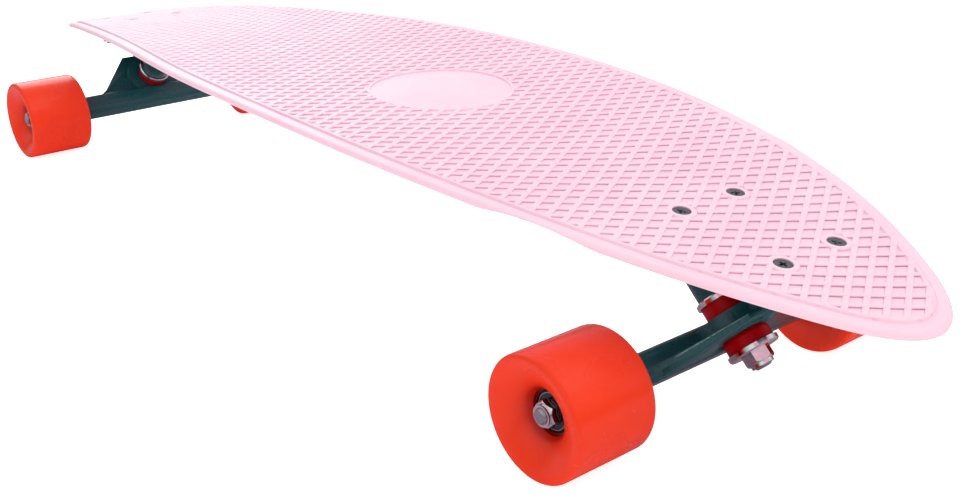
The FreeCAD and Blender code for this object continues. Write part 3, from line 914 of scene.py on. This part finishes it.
def bump(tree, shader, height, distance, strength):
    """Relief of a given depth on the shader."""
    inputs = {"Height": height, "Distance": distance, "Strength": strength}
    set_inputs(tree, shader, {"Normal": add_node(tree, "ShaderNodeBump", inputs).outputs[0]})


def grained(name, tones, grain, gloss, values, detail=2.0, rough=0.5, relief=None):
    """Finish whose tone and gloss vary with one grain, which may also stand in relief."""
    material, tree, shader, place = new_material(name)
    texture = noise(tree, place, grain, detail, rough)
    set_inputs(tree, shader, {
        "Base Color": blend_colours(tree, spread(tree, texture, 0.0, 1.0), *tones),
        "Roughness": spread(tree, texture, *gloss), **values,
    })
    if relief:
        bump(tree, shader, texture, relief, 0.4)
    return material


def moulded_polypropylene():
    """Moulded polypropylene: an even satin skin with faint flow tones and a fine spark-eroded grain."""
    tones = settings().finish
    material, tree, shader, place = new_material("moulded_polypropylene")
    flow = noise(tree, place, 60 * MM, 2.0)
    grain = noise(tree, place, 0.9 * MM, 2.0, 0.6)
    set_inputs(tree, shader, {
        "Base Color": blend_colours(tree, spread(tree, flow, 0.0, 1.0), tones.deck, tones.deck_shade),
        "Roughness": spread(tree, grain, 0.40, 0.50), "IOR": 1.49,
        "Subsurface Weight": 0.08, "Subsurface Radius": (2 * MM, 1 * MM, 1 * MM), "Subsurface Scale": 1.0,
    })
    bump(tree, shader, grain, 0.03 * MM, 0.5)
    return material


def cast_urethane():
    """Cast urethane turned on its faces, with a soft gloss and lathe rings, and a painted shade that
    darkens it in its hollows.
    """
    tones = settings().finish
    material, tree, shader, place = new_material("cast_urethane")
    cloud = noise(tree, place, 18 * MM, 2.0)
    open_tone = blend_colours(tree, spread(tree, cloud, 0.0, 0.5), tones.wheel, tones.wheel_deep)
    # Painted shade: ambient occlusion darkens the urethane towards a deep red in the dish's hollows near
    # the hub
    hollow = add_node(tree, "ShaderNodeAmbientOcclusion", {"Distance": 30 * MM}, samples=8, only_local=True)
    depth = spread(tree, hollow.outputs["AO"], 1.0, 0.0, *HOLLOW_SHADE_RANGE)
    turned = add_node(tree, "ShaderNodeUVMap", uv_map="turned").outputs[0]
    rings = add_node(tree, "ShaderNodeTexWave", {
        "Vector": turned, "Scale": UV_LENGTH / LATHE_RING / WAVE_RATE, "Distortion": 0.6, "Detail": 1.0,
    }, wave_type="BANDS", bands_direction="Y").outputs[1]
    set_inputs(tree, shader, {
        "Base Color": blend_colours(tree, depth, open_tone, tones.wheel_hollow_shade),
        "Roughness": spread(tree, cloud, 0.22, 0.30), "IOR": 1.5, "Specular IOR Level": 0.3,
    })
    bump(tree, shader, rings, 0.02 * MM, 0.35)
    return material


def painted_casting(name, tone):
    """Painted cast aluminium: a glossy coat that follows the sand-cast grain beneath it."""
    tones = (tone, settings().finish.paint_light)
    lacquer = {"Specular IOR Level": 0.3, "Coat Weight": 0.12, "Coat Roughness": 0.1}
    return grained(name, tones, 1.6 * MM, (0.26, 0.36), lacquer, 4.0, 0.6, 0.05 * MM)


def bushing_urethane():
    """Poured urethane of the bushings: dense colour with a slightly waxy sheen."""
    tone = settings().finish.bushing
    deep = [c * 0.72 for c in tone]
    wax = {"IOR": 1.5, "Specular IOR Level": 0.1}
    return grained("bushing_urethane", (tone, deep), 5 * MM, (0.28, 0.40), wax)


def metal(name, tone, grain, low, high, depth):
    """Bare or plated metal whose gloss varies with its grain."""
    dark = [c * 0.86 for c in tone]
    return grained(name, (tone, dark), grain, (low, high), {"Metallic": 1.0}, 3.0, 0.6, depth)


def moulded_nylon():
    """Moulded nylon of the pivot cups: dark, matt and slightly mottled."""
    tone = settings().finish.cup
    light = [c * 1.6 for c in tone]
    return grained("moulded_nylon", (tone, light), 0.8 * MM, (0.45, 0.6), {"IOR": 1.53})


def finish_named(name):
    """Material of a finish, made when it is first asked for."""
    tones = settings().finish
    makers = {
        "moulded_polypropylene": moulded_polypropylene,
        "cast_urethane": cast_urethane,
        "painted_cast_aluminium": lambda: painted_casting(name, tones.paint),
        # Painted highlight: the lighter paint of the parting beads
        "paint_edge": lambda: painted_casting(name, tones.paint_edge),
        "bushing_urethane": bushing_urethane,
        "chrome_plate": lambda: metal(name, tones.chrome, 3 * MM, 0.06, 0.16, 0.01 * MM),
        "ground_steel": lambda: metal(name, tones.steel, 0.8 * MM, 0.22, 0.38, 0.02 * MM),
        "pressed_shield": lambda: metal(name, tones.shield, 1.2 * MM, 0.14, 0.24, 0.02 * MM),
        "dark_race": lambda: metal(name, tones.race, 0.8 * MM, 0.22, 0.34, 0.02 * MM),
        "plated_steel": lambda: metal(name, tones.bolt, 0.9 * MM, 0.28, 0.42, 0.02 * MM),
        "moulded_nylon": moulded_nylon,
    }
    return bpy.data.materials.get(name) or makers[name]()


# Operators

class LONGBOARD_OT_deck(bpy.types.Operator):
    """Make the moulded deck"""

    bl_idname = "longboard.deck"
    bl_label = "Deck"

    def execute(self, context):
        mesh = smooth(bored(deck_mesh()), DECK_SHARP)
        piece("moulded_deck", mesh, "deck", "deck", "moulded_polypropylene", "deck")
        return {"FINISHED"}


class LONGBOARD_OT_tread(bpy.types.Operator):
    """Make the tread's ribs, rings and bosses"""

    bl_idname = "longboard.tread"
    bl_label = "Tread"

    def execute(self, context):
        tread = settings().tread
        finish = "moulded_polypropylene"
        ribs = run_tree(rib_tree(), tread_lines(), {
            "Top width": tread.rib_top, "Base width": tread.rib_base, "Height": tread.height,
            "Round": tread.rib_round, "Finish": finish_named(finish),
        })
        piece("tread_ribs", smooth(ribs, RIB_SHARP), "deck", "deck", None)
        piece("tread_rings", rings_mesh(), "deck", "deck", finish)
        return {"FINISHED"}


class LONGBOARD_OT_bolts(bpy.types.Operator):
    """Make the deck bolts"""

    bl_idname = "longboard.bolts"
    bl_label = "Deck bolts"

    def execute(self, context):
        spots = bolt_spots()
        mesh = plain_mesh("bolt_spots", [tuple(spot @ Vector((0, 0, -BOLT_SUNK))) for spot in spots])
        turn = mesh.attributes.new("turn", "FLOAT_VECTOR", "POINT")
        for k, spot in enumerate(spots):
            twist = Matrix.Rotation(math.radians(BOLT_TURNS[0] + BOLT_TURNS[1] * k), 4, "Z")
            turn.data[k].vector = (spot @ twist).to_euler()
        finish = finish_named("plated_steel")
        model = placed("bolt_model", bolt_mesh())
        bolts = run_tree(instance_tree("Deck bolts"), mesh, {"Prototype": model, "Finish": finish})
        bpy.data.objects.remove(model)
        piece("deck_bolts", bolts, "deck", "dark_bolt", None, "front_deck_bolts", "rear_deck_bolts")
        return {"FINISHED"}


class LONGBOARD_OT_wheels(bpy.types.Operator):
    """Make the four wheels and finish their bearings"""

    bl_idname = "longboard.wheels"
    bl_label = "Wheels"

    def execute(self, context):
        wheel = settings().wheel
        profile = self.profile(wheel)
        for end, _ in ENDS:
            for hand in HANDS:
                name = end + "_" + hand
                body = name + "_wheel"
                low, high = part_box(body)
                mesh = lathe(name + "_tyre", profile, wheel.steps, Matrix.Translation((low + high) / 2))
                piece(name + "_tyre", mesh, body, "wheel", "cast_urethane", body)
                low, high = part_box(name + "_shields")
                middle = (low + high) / 2
                for label, y in (("_inner_rim", low.y), ("_outer_rim", high.y)):
                    place = Matrix.Translation((middle.x, y, middle.z))
                    mesh = lathe(name + label, SHIELD_RIM, wheel.steps, place)
                    piece(name + label, mesh, body, "steel", "ground_steel")
                dress(name, WHEEL_FINISHES)
        return {"FINISHED"}

    def profile(self, wheel):
        """Closed section of a wheel, from the ridge between its bearings round by its tread."""
        half = wheel.width / 2
        lip = wheel.lip_round
        nick = WHEEL_EASE / 3
        foot = wheel.hub_half - MOUTH_DEPTH
        side = [
            (wheel.ridge_radius, wheel.ridge_half), (wheel.seat_radius, wheel.ridge_half),
            (wheel.seat_radius, foot), (MOUTH_RADIUS, foot), (MOUTH_RADIUS, wheel.hub_half - nick),
            (wheel.hub_radius, wheel.hub_half + nick),
        ]
        reach = wheel.radius - wheel.lip_width + WHEEL_EASE - wheel.hub_radius
        for k in range(1, DISH_STEPS + 1):
            share = k / DISH_STEPS
            bell = math.sqrt(1 - (1 - share) ** 2)
            rise = share + (bell - share) * DISH_BELL_SHARE
            side.append((wheel.hub_radius + reach * share, wheel.hub_half + (half - wheel.hub_half) * rise))
        side += round_corner((wheel.radius - lip, half - lip), lip, 90, 0, LIP_STEPS)
        return side + [(radius, -along) for radius, along in reversed(side)]


class LONGBOARD_OT_trucks(bpy.types.Operator):
    """Finish the trucks"""

    bl_idname = "longboard.trucks"
    bl_label = "Trucks"

    def execute(self, context):
        finish = "painted_cast_aluminium"
        for end, side in ENDS:
            body = end + "_truck"
            mesh = combined(softened(end + "_hanger", HANGER_EASE), hanger_webs(side), "UNION")
            mesh = smooth(mesh, CASTING_SHARP)
            piece(end + "_hanger_casting", mesh, body, "casting", finish, end + "_hanger")
            # The parting beads wear a painted highlight, a lighter paint for the gloss along the flanges'
            # edges.
            piece(end + "_parting_beads", parting_beads(side), body, "casting", "paint_edge")
            mesh = softened(end + "_baseplate", BASE_EASE)
            piece(end + "_base_casting", mesh, "deck", "casting", finish, end + "_baseplate")
            self.axle_threads(end)
            dress(end, TRUCK_FINISHES)
        return {"FINISHED"}

    def axle_threads(self, end):
        """Thread on both ends of an axle, outside its nuts."""
        low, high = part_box(end + "_axle")
        inner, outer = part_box(end + "_axle_nuts")
        radius = (high.z - low.z) / 2
        place = Matrix.Translation(((low.x + high.x) / 2, 0, (low.z + high.z) / 2))
        spans = (("right", low.y + AXLE_POINT, inner.y), ("left", outer.y, high.y - AXLE_POINT))
        for hand, first, last in spans:
            name = end + "_" + hand + "_thread"
            mesh = thread(name, radius, first, last, place)
            piece(name, mesh, end + "_truck", "steel", "ground_steel")


class LONGBOARD_OT_stage(bpy.types.Operator):
    """Set the floor, the light and the camera"""

    bl_idname = "longboard.stage"
    bl_label = "Stage"

    def execute(self, context):
        scene = context.scene
        scene.view_settings.view_transform = "Standard"
        self.floor()
        self.light(scene)
        self.camera(scene)
        return {"FINISHED"}

    def floor(self):
        """Wide white floor that glows for the camera, dims for the metal and is clear from below."""
        corners = [(x * FLOOR_HALF, y * FLOOR_HALF, 0) for x, y in ((-1, -1), (1, -1), (1, 1), (-1, 1))]
        mesh = plain_mesh("floor", corners, faces=[(0, 1, 2, 3)])
        floor = placed("floor", mesh)
        material, tree, shader, _ = new_material("pale_floor")
        path = add_node(tree, "ShaderNodeLightPath").outputs
        tones = settings().finish
        seen, spread_glow = FLOOR_GLOW
        shown = add_node(tree, "ShaderNodeMath", {0: path["Is Camera Ray"], 1: seen}, operation="MULTIPLY")
        glow = add_node(tree, "ShaderNodeMath", {
            0: path["Is Diffuse Ray"], 1: spread_glow, 2: shown.outputs[0],
        }, operation="MULTIPLY_ADD")
        set_inputs(tree, shader, {
            "Base Color": blend_colours(tree, path["Is Glossy Ray"], tones.floor, tones.floor_sheen),
            "Roughness": 0.9, "Emission Color": (1, 1, 1, 1), "Emission Strength": glow.outputs[0],
        })
        below = add_node(tree, "ShaderNodeNewGeometry").outputs["Backfacing"]
        clear = add_node(tree, "ShaderNodeBsdfTransparent").outputs[0]
        cover = add_node(tree, "ShaderNodeMixShader", {0: below, 1: shader.outputs[0], 2: clear})
        end = next(node for node in tree.nodes if node.type == "OUTPUT_MATERIAL")
        set_inputs(tree, end, {"Surface": cover.outputs[0]})
        mesh.materials.append(material)

    def light(self, scene):
        """Soft studio light from large lamps and an even surround."""
        world = bpy.data.worlds.new("studio")
        scene.world = world
        world.use_nodes = True
        tree = world.node_tree
        back = next(node for node in tree.nodes if node.type == "BACKGROUND")
        view = add_node(tree, "ShaderNodeTexCoord").outputs["Generated"]
        rise = add_node(tree, "ShaderNodeSeparateXYZ", {0: view}).outputs["Z"]
        sheen = spread(tree, rise, *SHEEN_RANGE, *SHEEN_HEIGHTS)
        path = add_node(tree, "ShaderNodeLightPath").outputs
        even = add_node(tree, "ShaderNodeMix", {0: path["Is Glossy Ray"], 2: SURROUND, 3: sheen}).outputs[0]
        strength = add_node(tree, "ShaderNodeMix", {0: path["Is Camera Ray"], 2: even, 3: 1.0}).outputs[0]
        set_inputs(tree, back, {"Color": (1, 1, 1, 1), "Strength": strength})
        middle = Vector(LAMP_TARGET)
        for name, spot, size, power in LAMPS:
            data = bpy.data.lights.new(name, "AREA")
            data.size = size
            data.energy = power
            lamp = placed(name, data)
            lamp.location = spot
            lamp.rotation_mode = "QUATERNION"
            lamp.rotation_quaternion = (middle - Vector(spot)).to_track_quat("-Z", "Y")
            lamp.visible_glossy = name == "rim"

    def camera(self, scene):
        """Camera at the photograph's viewing angle."""
        fit = settings().camera
        data = bpy.data.cameras.new("camera")
        data.lens = fit.lens
        data.sensor_width = fit.sensor
        data.clip_start = 10 * MM
        camera = placed("camera", data)
        right = Vector((math.cos(fit.azimuth), math.sin(fit.azimuth), 0))
        level = Vector((right.y, -right.x, 0))
        back = level * math.cos(fit.elevation) + Vector((0, 0, math.sin(fit.elevation)))
        up = back.cross(right)
        c, s = math.cos(fit.roll), math.sin(fit.roll)
        right, up = c * right + s * up, c * up - s * right
        pose = Matrix((right, up, back)).transposed().to_4x4()
        pose.translation = Vector(fit.target) + back * fit.distance
        camera.matrix_world = pose
        scene.camera = camera


class LongboardSettings(bpy.types.PropertyGroup):
    """All the settings of the board."""

    deck: PointerProperty(type=DeckSizes)
    tread: PointerProperty(type=TreadSizes)
    wheel: PointerProperty(type=WheelSizes)
    finish: PointerProperty(type=FinishColours)
    camera: PointerProperty(type=CameraFit)


OPERATORS = (
    LONGBOARD_OT_deck, LONGBOARD_OT_tread, LONGBOARD_OT_bolts, LONGBOARD_OT_wheels,
    LONGBOARD_OT_trucks, LONGBOARD_OT_stage,
)


class LONGBOARD_PT_panel(bpy.types.Panel):
    """Lists the steps that dress the board"""

    bl_idname = "LONGBOARD_PT_panel"
    bl_label = "Longboard"
    bl_space_type = "VIEW_3D"
    bl_region_type = "UI"
    bl_category = "Longboard"

    def draw(self, context):
        for step in OPERATORS:
            self.layout.operator(step.bl_idname)


CLASSES = (
    DeckSizes, TreadSizes, WheelSizes, FinishColours, CameraFit, LongboardSettings,
    *OPERATORS, LONGBOARD_PT_panel,
)


def register():
    """Registers the classes and the settings."""
    for item in CLASSES:
        bpy.utils.register_class(item)
    bpy.types.Scene.longboard = PointerProperty(type=LongboardSettings)


def unregister():
    """Removes the settings and the classes."""
    del bpy.types.Scene.longboard
    for item in reversed(CLASSES):
        bpy.utils.unregister_class(item)


def main():
    """Makes every piece in order."""
    register()
    for step in OPERATORS:
        group, name = step.bl_idname.split(".")
        getattr(getattr(bpy.ops, group), name)()


if __name__ == "__main__":
    main()
